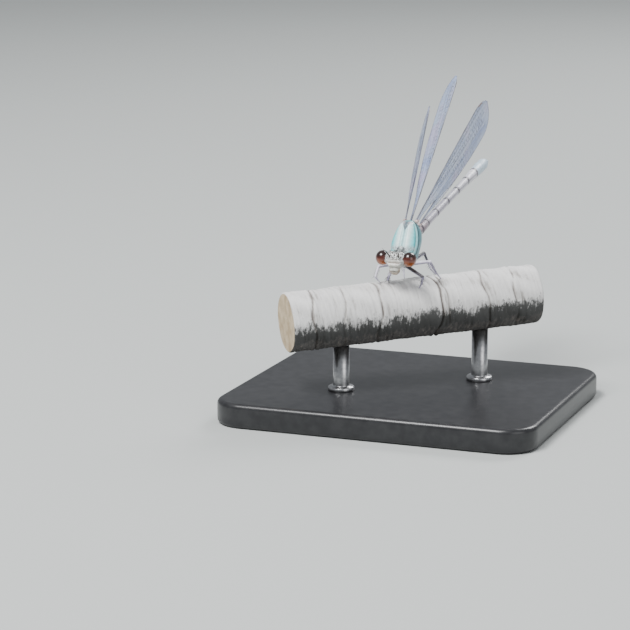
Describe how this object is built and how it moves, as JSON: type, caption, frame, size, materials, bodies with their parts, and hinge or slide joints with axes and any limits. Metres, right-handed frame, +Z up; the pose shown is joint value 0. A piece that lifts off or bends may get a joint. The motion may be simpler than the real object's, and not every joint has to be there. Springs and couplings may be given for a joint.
{
  "type": "dancer damselfly model on a perch",
  "caption": "Life-size still model of a pale turquoise dancer damselfly, wings half folded, gripping a cut length of branch held by a plain display stand",
  "frame": {"origin": "centre of the stand's base, on its underside", "axes": "+Z up; the damselfly faces -Y with its abdomen along +Y; +X is its own left side"},
  "size_m": [0.04, 0.05, 0.0394],
  "materials": {
    "face": "pale cuticle with dark flecks",
    "eye": "glossy compound eye, red-brown above and orange-brown below",
    "feeler": "dark cuticle",
    "pronotum": "mottled grey cuticle",
    "thorax": "pale turquoise cuticle with dark side stripes",
    "wing": "clear membrane with raised veins",
    "leg": "lavender-white cuticle with black stripes",
    "abdomen": "pale lilac-grey cuticle with dark rings",
    "bark": "pale ridged bark",
    "stand": "satin black paint"
  },
  "bodies": {
    "root": {"abdomen_1": "abdomen", "abdomen_10": "abdomen", "abdomen_2": "abdomen", "abdomen_3": "abdomen", "abdomen_4": "abdomen", "abdomen_5": "abdomen", "abdomen_6": "abdomen", "abdomen_7": "abdomen", "abdomen_8": "abdomen", "abdomen_9": "abdomen", "antenna_left": "feeler", "antenna_right": "feeler", "eye_left": "eye", "eye_right": "eye", "head": "face", "leg_fore_left_femur": "leg", "leg_fore_left_tarsus": "leg", "leg_fore_left_tibia": "leg", "leg_fore_right_femur": "leg", "leg_fore_right_tarsus": "leg", "leg_fore_right_tibia": "leg", "leg_hind_left_femur": "leg", "leg_hind_left_tarsus": "leg", "leg_hind_left_tibia": "leg", "leg_hind_right_femur": "leg", "leg_hind_right_tarsus": "leg", "leg_hind_right_tibia": "leg", "leg_mid_left_femur": "leg", "leg_mid_left_tarsus": "leg", "leg_mid_left_tibia": "leg", "leg_mid_right_femur": "leg", "leg_mid_right_tarsus": "leg", "leg_mid_right_tibia": "leg", "mouthparts": "face", "perch": "bark", "prothorax": "pronotum", "pterothorax": "thorax", "stand_base": "stand", "stand_rod_1": "stand", "stand_rod_2": "stand", "wing_fore_left": "wing", "wing_fore_right": "wing", "wing_hind_left": "wing", "wing_hind_right": "wing"}
  },
  "joints": []
}
